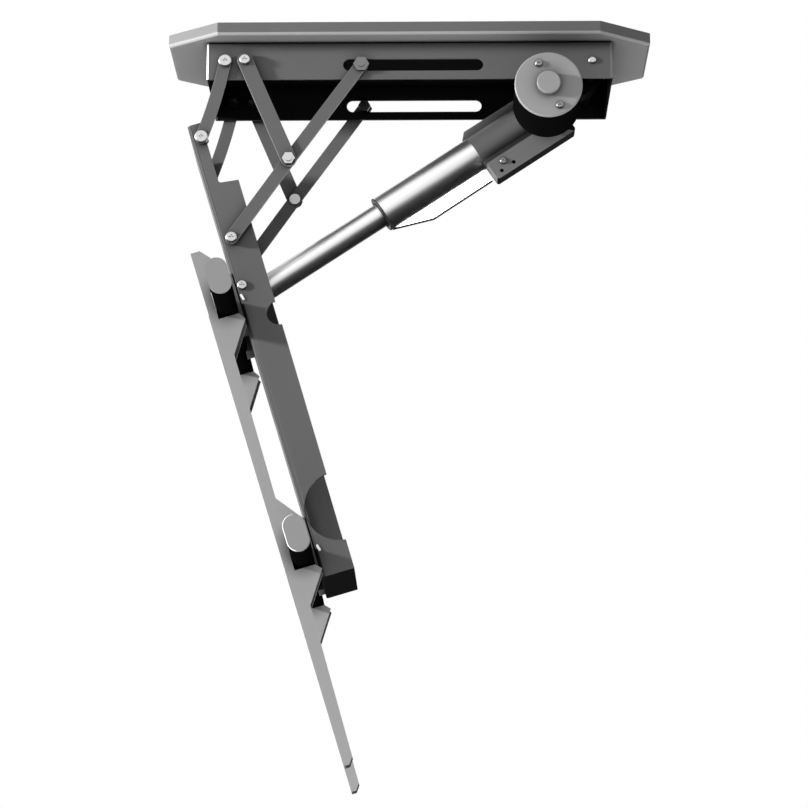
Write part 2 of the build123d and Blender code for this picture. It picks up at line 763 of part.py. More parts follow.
with BuildPart() as gearbox_housing:
    disc(across_actuator(barrel_rear), tube_radius, tube_rear - barrel_rear)
    disc(across_actuator(tube_rear), tube_bore - 0.1, tube_seat)
    with BuildSketch(actuator_plane(foot_near)) as gearcase_foot:
        with Locations(((foot_rear + tube_rear) / 2, (foot_top + foot_bottom) / 2)):
            Rectangle(tube_rear - foot_rear, foot_top - foot_bottom)
        fillet(gearcase_foot.vertices().group_by(Axis.Y)[0], foot_corner)
    extrude(amount=foot_far - foot_near)
    with BuildSketch(actuator_plane(foot_near + foot_web)):
        with Locations(((foot_rear + tube_rear) / 2, (foot_web_top + foot_web_bottom) / 2)):
            Rectangle(tube_rear - foot_rear, foot_web_top - foot_web_bottom)
    extrude(amount=foot_far - foot_near - foot_web)
    with BuildSketch(actuator_plane(ear_near)):
        with BuildLine():
            Polyline(
                (ear_rear, tube_radius / 2), (ear_rear, ear_height),
                (tube_rear - ear_slope[0], ear_height), (tube_rear, ear_height - ear_slope[1]),
                (tube_rear, tube_radius / 2), close=True)
        make_face()
    extrude(amount=ear_far - ear_near)
    with BuildSketch(actuator_plane(motor_base)):
        bar_between((worm_at, -worm_drop - 1.5), (worm_at, foot_web_bottom), motor_neck_width)
    extrude(amount=foot_far - motor_base)
    with BuildSketch(actuator_plane(foot_far)):
        with Locations((worm_at, -worm_drop)):
            Circle(worm_radius + 4.0)
    extrude(amount=worm_socket_end + 3.0 - foot_far)
    with BuildSketch(actuator_plane(-lug_half)):
        bar_between((0, 0), (barrel_rear + 4, 0), 2 * lug_radius)
    extrude(amount=2 * lug_half)
    with BuildSketch(across_actuator(screw_rear - 4.0)):
        Circle(screw_bore)
    extrude(amount=tube_rear + tube_seat - screw_rear + 4.0, mode=Mode.SUBTRACT)
    with BuildSketch(across_actuator(bearing_rear)):
        Circle(bearing_radius)
    extrude(amount=bearing_length, mode=Mode.SUBTRACT)
    with BuildSketch(across_actuator(worm_at - gear_chamber_half)):
        Circle(gear_chamber_radius)
    extrude(amount=2 * gear_chamber_half, mode=Mode.SUBTRACT)
    with BuildSketch(across_actuator(worm_at + gear_chamber_half)):
        Circle(barrel_bore)
    extrude(amount=tube_rear + tube_seat - worm_at - gear_chamber_half, mode=Mode.SUBTRACT)
    with BuildSketch(actuator_plane(motor_base)):
        with Locations((worm_at, -worm_drop)):
            Circle(worm_radius + worm_clearance)
    extrude(amount=worm_socket_end - motor_base, mode=Mode.SUBTRACT)
    with BuildSketch(actuator_plane(-lug_half)):
        with Locations((0, 0)):
            Circle(shank_radius + bore_clearance)
    extrude(amount=2 * lug_half, mode=Mode.SUBTRACT)
    with BuildSketch(actuator_plane(foot_near)):
        with Locations(*foot_holes):
            Circle(foot_hole_radius)
        with Locations(foot_screw):
            Circle(foot_screw_radius)
    extrude(amount=12.0, mode=Mode.SUBTRACT)

with BuildPart() as gearbox_screws:
    seat = outward(-1, from_actuator(*foot_screw), -foot_near)
    disc(seat, 3.8, 2.2)
    disc(seat, foot_screw_radius, -10.0)
    fillet(gearbox_screws.faces().sort_by(Axis.Y)[0].edges(), 1.0)
    cross_recess(seat.offset(2.2), 3.6)

with BuildPart() as motor_can:
    motor_seat = outward(-1, motor_centre, -motor_base)
    disc(motor_seat, motor_radius, motor_base - motor_cap_back)
    fillet(motor_can.faces().sort_by(Axis.Y)[-1].edges(), motor_rim)
    with BuildSketch(motor_seat.offset(motor_wall)):
        Circle(motor_radius - motor_wall)
    extrude(amount=motor_base - motor_cap_back, mode=Mode.SUBTRACT)
    with BuildSketch(motor_seat):
        Circle(worm_radius + worm_clearance)
    extrude(amount=motor_wall, mode=Mode.SUBTRACT)

with BuildPart() as motor_magnets:
    with BuildSketch(motor_seat.offset(magnet_start)):
        Circle(motor_radius - motor_wall)
        Circle(motor_radius - motor_wall - magnet_wall, mode=Mode.SUBTRACT)
        Rectangle(3 * motor_radius, magnet_gap, mode=Mode.SUBTRACT)
    extrude(amount=magnet_length)

with BuildPart() as motor_end_cap:
    cap_seat = motor_seat.offset(motor_base - motor_cap_back)
    disc(cap_seat, motor_radius, motor_cap_back - motor_cap_front)
    fillet(motor_end_cap.faces().sort_by(Axis.Y)[0].edges(), 1.6)
    disc(cap_seat, motor_boss_radius, motor_cap_back - motor_cap_front + motor_boss_height)
    fillet(motor_end_cap.faces().sort_by(Axis.Y)[0].edges(), 1.2)
    with BuildSketch(cap_seat):
        Circle(motor_bore_radius)
    extrude(amount=motor_boss_height, mode=Mode.SUBTRACT)
    with BuildSketch(cap_seat):
        with Locations(*motor_screw_spots):
            Circle(motor_screw_radius)
    extrude(amount=motor_cap_back - motor_cap_front, mode=Mode.SUBTRACT)

with BuildPart() as motor_screws:
    for screw_x, screw_z in motor_screw_spots:
        centre = (motor_centre[0] + screw_x, motor_centre[1] + screw_z)
        seat = outward(-1, centre, -motor_cap_front)
        disc(seat, motor_screw_head, motor_screw_head_height)
        disc(seat, motor_screw_radius, motor_cap_front - motor_cap_back)
    fillet(motor_screws.faces().filter_by(Axis.Y).group_by(Axis.Y)[0].edges(), head_dome)
    for screw_x, screw_z in motor_screw_spots:
        centre = (motor_centre[0] + screw_x, motor_centre[1] + screw_z)
        cross_recess(outward(-1, centre, motor_screw_head_height - motor_cap_front), 4.0)

with BuildPart() as motor_rotor:
    shaft_length = motor_base - motor_cap_back + rotor_shaft_in + rotor_shaft_out
    disc(motor_seat.offset(-rotor_shaft_in), rotor_shaft_radius, shaft_length)
    rotor_radius = motor_radius - motor_wall - magnet_wall - rotor_gap
    disc(motor_seat.offset(rotor_start), rotor_radius, rotor_length)
    disc(motor_seat.offset(rotor_start + rotor_length), commutator_radius, commutator_length)

with BuildPart() as worm:
    disc(motor_seat.offset(-rotor_shaft_in), worm_radius - 1.0, -14.0)
    disc(motor_seat.offset(10.0 + motor_base), worm_radius, -20.0)
    disc(motor_seat.offset(-rotor_shaft_in - 14.0), worm_radius - 1.8, -64.0)

with BuildPart() as outer_tube:
    ring(across_actuator(tube_rear), tube_radius, tube_bore, tube_front - tube_rear)
    chamfer(outer_tube.edges().filter_by(GeomType.CIRCLE).sort_by(SortBy.RADIUS)[-1], 0.4)

with BuildPart() as tube_gland:
    gland_bore = rod_radius + gland_clearance
    ring(across_actuator(tube_front - gland_length), tube_bore, gland_bore, gland_length)
    ring(across_actuator(tube_front), tube_radius + gland_lip, gland_bore, gland_lip_height)
    chamfer(tube_gland.edges().filter_by(GeomType.CIRCLE).sort_by(SortBy.RADIUS)[-2:], 0.4)

with BuildPart() as rod_seal:
    ring(across_actuator(tube_front + gland_lip_height), rod_radius + seal_wall,
         rod_radius + bore_clearance, seal_height)

with BuildPart() as cable_guard:
    with BuildSketch(actuator_plane(guard_y)):
        guard_front = tube_front - guard_front_gap
        with BuildLine():
            Polyline((tube_rear, guard_top), (tube_rear, -guard_drop), guard_knee,
                     (guard_front, -guard_front_drop), (guard_front, guard_top), close=True)
        make_face()
    extrude(amount=guard_wall)

with BuildPart() as screw_bearings:
    ring(across_actuator(bearing_rear), bearing_radius, screw_radius + bore_clearance, bearing_length)

with BuildPart() as push_rod:
    ring(across_actuator(rod_rear), rod_radius, rod_bore, rod_front - rod_rear)

with BuildPart() as drive_nut:
    ring(across_actuator(rod_rear - nut_collar), rod_radius, screw_radius + 0.1, nut_collar)
    ring(across_actuator(rod_rear), rod_bore, screw_radius + 0.1, nut_length)

with BuildPart() as rod_end:
    disc(across_actuator(rod_front - rod_plug), rod_bore, rod_plug)
    disc(across_actuator(rod_front), rod_radius, rod_collar)
    with BuildSketch(actuator_plane(-eye_half)):
        with Locations((actuator_length, 0)):
            Circle(eye_radius)
        with Locations((actuator_length - eye_neck / 2, 0)):
            Rectangle(eye_neck, 1.6 * eye_radius)
    extrude(amount=2 * eye_half)
    with BuildSketch(actuator_plane(-eye_half)):
        with Locations((actuator_length, 0)):
            Circle(pin_radius)
    extrude(amount=2 * eye_half, mode=Mode.SUBTRACT)

with BuildPart() as front_pivot_pin:
    disc(outward(-1, front_pivot, pin_reach), pin_radius, -2 * pin_reach)
    for side in (-1, 1):
        disc(outward(side, front_pivot, eye_half), pin_radius + 3.0, thread_end)

with BuildPart() as lead_screw:
    disc(across_actuator(screw_rear), screw_radius, screw_front - screw_rear)
    chamfer(lead_screw.edges().filter_by(GeomType.CIRCLE), 0.8)

with BuildPart() as worm_wheel:
    ring(across_actuator(worm_at - wheel_half), wheel_radius, screw_radius, 2 * wheel_half)
    chamfer(worm_wheel.edges().filter_by(GeomType.CIRCLE).group_by(SortBy.RADIUS)[-1], 0.8)

nodes = {
    "ceiling_plate": ceiling_plate, "ceiling_spacers": ceiling_spacers,
    "frame_channel": frame_channel, "channel_bolts": channel_bolts, "channel_nuts": channel_nuts,
    "link_a_bolts": link_a_bolts, "link_b_bolts": link_b_bolts, "link_spacers": link_spacers,
    "frame_nuts": frame_nuts, "rear_pivot_pin": rear_pivot_pin, "rear_pivot_nut": rear_pivot_nut,
    "rear_pivot_spacers": rear_pivot_spacers,
    "link_a_near": link_a_near, "link_a_far": link_a_far,
    "link_b_near": link_b_near, "link_b_far": link_b_far,
    "link_c_near": link_c_near, "link_c_far": link_c_far,
    "knee_bolts": knee_bolts, "knee_nuts": knee_nuts,
    "slot_studs": slot_studs, "slot_nuts": slot_nuts, "arm_link_bolts": arm_link_bolts,
    "main_arm": main_arm, "arm_pivot_bolts": arm_pivot_bolts, "arm_spacers": arm_spacers,
    "arm_link_studs": arm_link_studs, "arm_nuts": arm_nuts, "front_pivot_studs": front_pivot_studs,
    "rail_upper": rail_upper, "rail_lower": rail_lower, "rail_end_caps": rail_end_caps,
    "rail_saddles": rail_saddles, "rail_bolts": rail_bolts, "rail_nuts": rail_nuts,
    "tv_bracket_near": tv_bracket_near, "tv_bracket_far": tv_bracket_far,
    "lock_screws_near": lock_screws_near, "lock_screws_far": lock_screws_far,
    "gearbox_housing": gearbox_housing, "gearbox_screws": gearbox_screws,
    "motor_can": motor_can, "motor_magnets": motor_magnets, "motor_end_cap": motor_end_cap,
    "motor_screws": motor_screws, "motor_rotor": motor_rotor, "worm": worm,
    "outer_tube": outer_tube, "tube_gland": tube_gland, "rod_seal": rod_seal,
    "cable_guard": cable_guard, "screw_bearings": screw_bearings,
    "push_rod": push_rod, "drive_nut": drive_nut, "rod_end": rod_end,
    "front_pivot_pin": front_pivot_pin, "lead_screw": lead_screw, "worm_wheel": worm_wheel}

for node_name, node in nodes.items():
    node.part.label = node_name
    export_step(node.part, "parts/" + node_name + ".step")
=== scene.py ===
"""Motorised ceiling mount for a flat screen: finishes, small fittings, stage, light and camera."""

import json
import math

import bmesh
import bpy
from bpy.props import FloatProperty, FloatVectorProperty, PointerProperty
from mathutils import Matrix, Vector


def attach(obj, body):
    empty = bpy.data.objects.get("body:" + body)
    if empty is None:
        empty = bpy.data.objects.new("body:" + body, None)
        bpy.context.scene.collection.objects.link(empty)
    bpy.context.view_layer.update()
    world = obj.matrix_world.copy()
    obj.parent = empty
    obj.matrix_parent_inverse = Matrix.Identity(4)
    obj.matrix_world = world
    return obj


bl_info = {
    "name": "Ceiling Screen Mount",
    "version": (1, 0, 0),
    "blender": (4, 5, 0),
    "location": "View3D > Sidebar > Screen Mount",
    "description": "Finishes and small fittings for a motorised ceiling mount",
    "category": "Object",
}

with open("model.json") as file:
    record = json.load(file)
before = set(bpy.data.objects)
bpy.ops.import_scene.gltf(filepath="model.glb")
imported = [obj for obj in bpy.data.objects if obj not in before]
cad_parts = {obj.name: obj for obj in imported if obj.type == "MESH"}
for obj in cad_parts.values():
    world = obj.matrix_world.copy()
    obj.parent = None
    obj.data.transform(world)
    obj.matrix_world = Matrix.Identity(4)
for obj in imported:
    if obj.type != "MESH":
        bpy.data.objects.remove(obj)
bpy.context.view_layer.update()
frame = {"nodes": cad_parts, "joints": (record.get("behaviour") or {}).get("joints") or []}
NODES = frame["nodes"]
MM = 0.001
ACROSS = Vector((0.0, 1.0, 0.0))

# The CAD model's sheets and arm, as the tests on faces need them
SKIN = 2.3 * MM
BRACKET_SKIN = 1.8 * MM
LEFT_BEND = 2.4 * MM
END_WALL = 2.6 * MM
GEARCASE_HIDDEN = 66.0 * MM
EAR_PLANE = 5.0 * MM
ARM_TILT = math.radians(16.76)
ARM_DOWN = Vector((math.sin(ARM_TILT), 0.0, -math.cos(ARM_TILT)))
ARM_FRONT = Vector((math.cos(ARM_TILT), 0.0, math.sin(ARM_TILT)))
ARM_END = 534.8 * MM
ARM_BACK = -12.0 * MM

# The clips: down the arm from its top pivot, and toward the actuator
CLIP_PLACES = ((197.0 * MM, -7.6 * MM), (501.4 * MM, -6.3 * MM))
CLIP_LEAN = 0.25

# The photograph's camera, and where the lamps point
PHOTO_PIXELS = 808
FOCAL_PIXELS = 2800.0
SENSOR_MM = 36.0
CAMERA_PLACE = (0.0312, -3.1303, -1.2219)
CAMERA_TILT = math.radians(90 + 14.15)
CAMERA_TURN = math.radians(0.70)
LAMP_AIM = Vector((0.0, 0.0, -0.35))


def colour_property(name, description, default):
    return FloatVectorProperty(name=name, description=description, default=default, size=3,
                               subtype="COLOR", min=0.0, max=1.0)


def length_property(name, description, default):
    return FloatProperty(name=name, description=description, default=default, unit="LENGTH",
                         subtype="DISTANCE", min=0.0)


class MountColours(bpy.types.PropertyGroup):
    """Colours of the painted, plated and moulded finishes, and of the painted light and shade"""
    dark_coat: colour_property("Dark coat", "Powder coat of channel, links, arm and saddles",
                               (0.098, 0.098, 0.098))
    plate_coat: colour_property("Plate coat", "Powder coat of the ceiling plate",
                                (0.116, 0.116, 0.116))
    # painted light: the ceiling plate's flat underside is lighter than its other faces
    plate_underside_light: colour_property("Plate underside", "Lighter coat under the ceiling plate",
                                 (0.225, 0.225, 0.225))
    # also the painted highlight on the near bend at the channel's right end
    bracket_coat_and_bend_highlight: colour_property("Light coat", "Powder coat of the screen brackets",
                                (0.270, 0.270, 0.270))
    rail_coat: colour_property("Rail coat", "Black coat of the rails", (0.002, 0.002, 0.002))
    cap_grey: colour_property("Cap grey", "Moulded rail end caps", (0.235, 0.235, 0.235))
    black_moulding: colour_property("Black moulding", "Gland, seal and magnets",
                                    (0.020, 0.020, 0.020))
    casting: colour_property("Casting", "Painted gearcase", (0.145, 0.145, 0.145))
    motor_black: colour_property("Motor black", "Motor can", (0.003, 0.003, 0.003))
    motor_grey: colour_property("Motor grey", "Motor end cap", (0.300, 0.300, 0.300))
    guard_white: colour_property("Guard white", "Clear plate under the tube", (0.97, 0.97, 0.97))
    guard_edge: colour_property("Guard edge", "Edging on the clear plate", (0.012, 0.012, 0.012))
    # painted shade: black for the channel's inside, its end walls' lower edges, the arm's lower end and
    # the gearcase's hidden faces
    painted_shade_black: colour_property("Inner coat", "Coat on the inner faces of the folded sheets",
                                (0.006, 0.006, 0.006))
    # painted shade: colour of the sides of links and brackets that face the middle
    middle_painted_shade: colour_property("Shaded coat", "Thin coat on the sides that face the middle",
                                 (0.125, 0.125, 0.125))
    # painted light inside the arm at its lower end; painted shade darkens it higher up
    arm_inner: colour_property("Arm inside", "Thin coat inside the arm", (0.260, 0.260, 0.260))
    # painted shade: the arm's rounded back corners are darkened against the light they catch
    arm_bend_shade: colour_property("Arm bend", "Coat on the rounded back corners of the arm",
                              (0.050, 0.050, 0.050))
    # painted highlight on the ceiling plate's lower bend and the links' right and lower edges
    plate_and_link_edge_highlight: colour_property("Thin bend", "Lighter coat on the plate's bend and the links' edges",
                               (0.330, 0.330, 0.330))
    # painted highlight: the bend at the channel's left end is near white
    channel_end_highlight: colour_property("Bare bend", "Bright bend at the channel's end", (0.900, 0.900, 0.900))
    black_oxide: colour_property("Black oxide", "Blackened nuts and bolts", (0.004, 0.004, 0.004))
    polished: colour_property("Polished steel", "Tube and rod", (0.96, 0.96, 0.96))
    zinc: colour_property("Zinc", "Bright plated fasteners", (0.58, 0.58, 0.58))
    grey_zinc: colour_property("Grey zinc", "Dull plated slot studs and nuts",
                               (0.20, 0.20, 0.20))
    small_zinc: colour_property("Small screws", "Cloudy plated small screws", (0.32, 0.32, 0.32))
    # painted highlight on the rounded left rim of the rail end caps
    cap_rim_highlight: colour_property("Cap rim", "Pale rim of the rail end caps", (0.85, 0.85, 0.85))
    # painted light: the gearcase's ear is lighter than the rest of the casting
    ear_painted_light: colour_property("Ear coat", "Thin coat on the gearcase's ear", (0.300, 0.300, 0.300))
    bright_clip: colour_property("Clip", "Spring clips on the arm", (0.92, 0.92, 0.92))
    bare: colour_property("Bare steel", "Machined steel inside", (0.45, 0.45, 0.45))
    bronze: colour_property("Bronze", "Drive nut and worm wheel", (0.52, 0.33, 0.15))


class MountSizes(bpy.types.PropertyGroup):
    """Roundings of edges, and sizes of the small fittings"""
    sheet_edge: length_property("Sheet edge", "Rounding of cut sheet edges", 0.0005)
    casting_edge: length_property("Casting edge", "Rounding of cast edges", 0.0012)
    hardware_edge: length_property("Hardware edge", "Rounding of bolt and nut edges", 0.0003)
    trim_width: length_property("Trim width", "Height of the edging on the clear plate", 0.0022)
    trim_lip: length_property("Trim lip", "How far the edging stands over the plate", 0.0004)
    trim_round: length_property("Trim rounding", "Rounding of the edging's edges", 0.00025)
    clip_length: length_property("Clip length", "Length of the spring clips on the arm", 0.0080)
    clip_width: length_property("Clip width", "Width of the spring clips on the arm", 0.0027)
    clip_height: length_property("Clip height", "How far the clips stand through the wall", 0.0024)
    clip_round: length_property("Clip rounding", "Rounding of the clips' edges", 0.0005)


class MountStage(bpy.types.PropertyGroup):
    """Floor, background and lamps"""
    floor_grey: colour_property("Floor", "Colour of the pale floor", (0.78, 0.78, 0.78))
    floor_drop: length_property("Floor drop", "Depth of the floor under the ceiling", 1.75)
    floor_reach: length_property("Floor reach", "Half the floor's width", 9.0)
    card_drop: length_property("Card drop", "Depth of the black cloth under the ceiling", 1.30)
    card_reach: length_property("Card reach", "Half the black cloth's width", 6.0)
    key_power: FloatProperty(name="Key lamp", description="Power of the lamp at the left",
                             default=205.0, unit="POWER")
    fill_power: FloatProperty(name="Fill lamp", description="Power of the lamp at the camera",
                              default=3.0, unit="POWER")
    low_power: FloatProperty(name="Low lamp", description="Power of the lamp under the mount",
                             default=14.0, unit="POWER")
    floor_power: FloatProperty(name="Floor lamp", description="Power of the wide lamp over the floor",
                               default=430.0, unit="POWER")
    back_power: FloatProperty(name="Back lamp", description="Power of the lamp behind the mount",
                              default=70.0, unit="POWER")
    fill_level: FloatProperty(name="Room level", description="Light of the room all round",
                              default=0.24, min=0.0)


def colours():
    return bpy.context.scene.mount_colours


def sizes():
    return bpy.context.scene.mount_sizes


def stage_values():
    return bpy.context.scene.mount_stage


# Shared effects

def group(name, inputs, outputs):
    """an empty shader node group with its sockets, and its input and output nodes"""
    tree = bpy.data.node_groups.new(name, "ShaderNodeTree")
    for label, kind, default in inputs:
        made = tree.interface.new_socket(label, in_out="INPUT", socket_type=kind)
        made.default_value = default
    for label, kind in outputs:
        tree.interface.new_socket(label, in_out="OUTPUT", socket_type=kind)
    return tree, tree.nodes.new("NodeGroupInput"), tree.nodes.new("NodeGroupOutput")


def value_node(tree, operation, first, second, clamp=False):
    """a Math node whose inputs are sockets or numbers"""
    made = tree.nodes.new("ShaderNodeMath")
    made.operation = operation
    made.use_clamp = clamp
    for socket, source in zip(made.inputs, (first, second)):
        if isinstance(source, (int, float)):
            socket.default_value = source
        else:
            tree.links.new(source, socket)
    return made.outputs[0]


def vector_node(tree, operation, first, second):
    """a Vector Math node between two sockets"""
    made = tree.nodes.new("ShaderNodeVectorMath")
    made.operation = operation
    tree.links.new(first, made.inputs[0])
    tree.links.new(second, made.inputs[1])
    return made


def scaled_by(tree, vector, factor):
    """a colour or vector times a value"""
    made = tree.nodes.new("ShaderNodeVectorMath")
    made.operation = "SCALE"
    tree.links.new(vector, made.inputs[0])
    tree.links.new(factor, made.inputs["Scale"])
    return made.outputs[0]


def noise_node(tree, vector, scale, detail, rough=0.5):
    made = tree.nodes.new("ShaderNodeTexNoise")
    tree.links.new(vector, made.inputs["Vector"])
    made.inputs["Detail"].default_value = detail
    made.inputs["Roughness"].default_value = rough
    if isinstance(scale, (int, float)):
        made.inputs["Scale"].default_value = scale
    else:
        tree.links.new(scale, made.inputs["Scale"])
    return made.outputs["Fac"]


def object_place(tree):
    return tree.nodes.new("ShaderNodeTexCoord").outputs["Object"]


def make_coat_grain():
    """height of a sprayed coat: orange peel with a fine grain on it"""
    tree, given, result = group(
        "coat_grain", [("Peel Scale", "NodeSocketFloat", 380.0),
                       ("Grain Scale", "NodeSocketFloat", 2600.0)],
        [("Height", "NodeSocketFloat")])
    place = object_place(tree)
    peel = noise_node(tree, place, given.outputs["Peel Scale"], 2.0)
    grain = noise_node(tree, place, given.outputs["Grain Scale"], 1.0)
    total = value_node(tree, "ADD", value_node(tree, "MULTIPLY", peel, 0.65),
                       value_node(tree, "MULTIPLY", grain, 0.35))
    tree.links.new(total, result.inputs["Height"])
    return tree


def make_uneven_tone():
    """a colour with soft lighter and darker areas, and dust specks"""
    tree, given, result = group(
        "uneven_tone", [("Color", "NodeSocketColor", (0.5, 0.5, 0.5, 1.0)),
                        ("Scale", "NodeSocketFloat", 9.0), ("Amount", "NodeSocketFloat", 0.12)],
        [("Color", "NodeSocketColor"), ("Mask", "NodeSocketFloat")])
    place = object_place(tree)
    broad = noise_node(tree, place, given.outputs["Scale"], 4.0, 0.6)
    fine = noise_node(tree, place, 140.0, 3.0, 0.7)
    both = value_node(tree, "ADD", value_node(tree, "MULTIPLY", broad, 0.7),
                      value_node(tree, "MULTIPLY", fine, 0.3))
    centred = value_node(tree, "MULTIPLY", value_node(tree, "SUBTRACT", both, 0.5), 2.0)
    factor = value_node(tree, "ADD", value_node(tree, "MULTIPLY", centred, given.outputs["Amount"]), 1.0)
    tree.links.new(scaled_by(tree, given.outputs["Color"], factor), result.inputs["Color"])
    tree.links.new(both, result.inputs["Mask"])
    return tree


def make_corner_shade():
    """how open a spot is, as painted shade: 1 on open faces, lower in corners and between parts where
    shade gathers
    """
    tree, given, result = group("corner_shade", [("Distance", "NodeSocketFloat", 0.018)],
                                [("Value", "NodeSocketFloat")])
    openness = tree.nodes.new("ShaderNodeAmbientOcclusion")
    openness.samples = 6
    tree.links.new(given.outputs["Distance"], openness.inputs["Distance"])
    tree.links.new(value_node(tree, "POWER", openness.outputs["AO"], 1.8), result.inputs["Value"])
    return tree


def make_edge_wear_and_highlight():
    """mask of rubbed edges that is also a painted edge highlight: where the rounded normal leaves the
    face normal, broken up by noise
    """
    tree, given, result = group(
        "edge_wear_and_highlight", [("Radius", "NodeSocketFloat", 0.0012), ("Break Up", "NodeSocketFloat", 160.0)],
        [("Mask", "NodeSocketFloat")])
    rounded = tree.nodes.new("ShaderNodeBevel")
    rounded.samples = 4
    tree.links.new(given.outputs["Radius"], rounded.inputs["Radius"])
    plain = tree.nodes.new("ShaderNodeNewGeometry")
    product = vector_node(tree, "DOT_PRODUCT", rounded.outputs["Normal"], plain.outputs["Normal"])
    away = value_node(tree, "SUBTRACT", 1.0, product.outputs["Value"])
    strong = value_node(tree, "MULTIPLY", away, 5.0, clamp=True)
    patchy = noise_node(tree, object_place(tree), given.outputs["Break Up"], 3.0, 0.65)
    cut = value_node(tree, "MULTIPLY", value_node(tree, "SUBTRACT", patchy, 0.38), 3.0, clamp=True)
    tree.links.new(value_node(tree, "MULTIPLY", strong, cut), result.inputs["Mask"])
    return tree


def make_drawn_streaks():
    """fine streaks along a bar or tube: noise stretched along one direction"""
    tree, given, result = group(
        "drawn_streaks", [("Direction", "NodeSocketVector", (1.0, 0.0, 0.0)),
                          ("Scale", "NodeSocketFloat", 900.0)],
        [("Value", "NodeSocketFloat")])
    place = object_place(tree)
    along = vector_node(tree, "DOT_PRODUCT", place, given.outputs["Direction"])
    most = value_node(tree, "MULTIPLY", along.outputs["Value"], 0.985)
    back = scaled_by(tree, given.outputs["Direction"], most)
    flat = vector_node(tree, "SUBTRACT", place, back)
    streak = noise_node(tree, flat.outputs[0], given.outputs["Scale"], 3.0, 0.6)
    tree.links.new(streak, result.inputs["Value"])
    return tree


EFFECTS = {}


def effect(name):
    """a shared effect, built the first time that a material asks for it"""
    makers = {"coat_grain": make_coat_grain, "uneven_tone": make_uneven_tone,
              "edge_wear_and_highlight": make_edge_wear_and_highlight, "drawn_streaks": make_drawn_streaks,
              "corner_shade": make_corner_shade}
    if name not in EFFECTS:
        EFFECTS[name] = makers[name]()
    return EFFECTS[name]


def placed(tree, name, **values):
    """a shared effect placed in a material with its own values"""
    made = tree.nodes.new("ShaderNodeGroup")
    made.node_tree = effect(name)
    for label, value in values.items():
        made.inputs[label.replace("_", " ")].default_value = value
    return made


# Materials

def blank_material(name):
    made = bpy.data.materials.new(name)
    made.use_nodes = True
    tree = made.node_tree
    shader = tree.nodes["Principled BSDF"]
    return made, tree, shader


def ranged(tree, value, low, high, start=0.0, stop=1.0):
    """a value between start and stop brought to a range"""
    made = tree.nodes.new("ShaderNodeMapRange")
    made.inputs["From Min"].default_value = start
    made.inputs["From Max"].default_value = stop
    made.inputs["To Min"].default_value = low
    made.inputs["To Max"].default_value = high
    tree.links.new(value, made.inputs["Value"])
    return made.outputs["Result"]


def bump(tree, shader, height, strength, distance):
    made = tree.nodes.new("ShaderNodeBump")
    made.inputs["Strength"].default_value = strength
    made.inputs["Distance"].default_value = distance
    tree.links.new(height, made.inputs["Height"])
    tree.links.new(made.outputs["Normal"], shader.inputs["Normal"])


def tinted(tree, shader, colour, scale, amount):
    """a slightly uneven base colour; gives the mask of its unevenness"""
    toned = placed(tree, "uneven_tone", Color=(*colour, 1.0), Scale=scale, Amount=amount)
    tree.links.new(toned.outputs["Color"], shader.inputs["Base Color"])
    return toned.outputs["Mask"]


def coat_material(name, colour, rough=(0.42, 0.56), wear_and_highlight=0.25, tone=0.10, peel=380.0, shine=0.42,
                  corner=0.018):
    """sprayed powder coat with orange peel, uneven tone, lighter edges that are partly rubbed and partly
    painted highlight, and painted shade in corners
    """
    made, tree, shader = blank_material(name)
    toned = placed(tree, "uneven_tone", Color=(*colour, 1.0), Scale=7.0, Amount=tone)
    wear_and_highlight_node = placed(tree, "edge_wear_and_highlight", Radius=0.0011, Break_Up=170.0)
    paler = [min(1.0, channel * 1.7 + 0.05) for channel in colour]
    mixed = tree.nodes.new("ShaderNodeMix")
    mixed.data_type = "RGBA"
    # lighter edges: rubbing and painted highlight
    tree.links.new(value_node(tree, "MULTIPLY", wear_and_highlight_node.outputs["Mask"], wear_and_highlight), mixed.inputs["Factor"])
    tree.links.new(toned.outputs["Color"], mixed.inputs["A"])
    mixed.inputs["B"].default_value = (*paler, 1.0)
    # painted shade: the colour darkens in corners and between parts
    openness = placed(tree, "corner_shade", Distance=corner).outputs["Value"]
    shaded = scaled_by(tree, mixed.outputs["Result"], openness)
    tree.links.new(shaded, shader.inputs["Base Color"])
    tree.links.new(ranged(tree, toned.outputs["Mask"], *rough), shader.inputs["Roughness"])
    grain = placed(tree, "coat_grain", Peel_Scale=peel)
    bump(tree, shader, grain.outputs["Height"], 0.18, 0.00012)
    shader.inputs["Specular IOR Level"].default_value = shine
    return made


def painted_shade_black():
    """painted shade: black on inner faces, end edges and undersides where shadow falls, made once"""
    made = bpy.data.materials.get("painted_shade_black")
    if made is None:
        made = coat_material("painted_shade_black", colours().painted_shade_black, rough=(0.60, 0.75), wear_and_highlight=0.0,
                             shine=0.05)
    return made


def middle_painted_shade():
    """painted shade: a dark colour on the sides of links and brackets that face the middle, made once"""
    made = bpy.data.materials.get("middle_painted_shade")
    if made is None:
        made = coat_material("middle_painted_shade", colours().middle_painted_shade, rough=(0.50, 0.65), wear_and_highlight=0.1,
                             shine=0.2)
    return made


def arm_inside_painted_shade():
    """painted light and shade inside the arm: lighter at the lower end, darkening higher up"""
    inner = coat_material("arm_inside_painted_shade", colours().arm_inner, wear_and_highlight=0.0, shine=0.1)
    tree = inner.node_tree
    shader = tree.nodes["Principled BSDF"]
    heights = [vertex.co.z for vertex in NODES["main_arm"].data.vertices]
    foot = min(heights)
    tall = max(heights) - foot
    lit_to, shaded_from, deepest_shade = 0.12, 0.58, 0.12
    parts = tree.nodes.new("ShaderNodeSeparateXYZ")
    tree.links.new(object_place(tree), parts.inputs[0])
    fade = ranged(tree, parts.outputs["Z"], 1.0, deepest_shade, foot + lit_to * tall,
                  foot + shaded_from * tall)
    full = shader.inputs["Base Color"].links[0].from_socket
    tree.links.new(scaled_by(tree, full, fade), shader.inputs["Base Color"])
    return inner


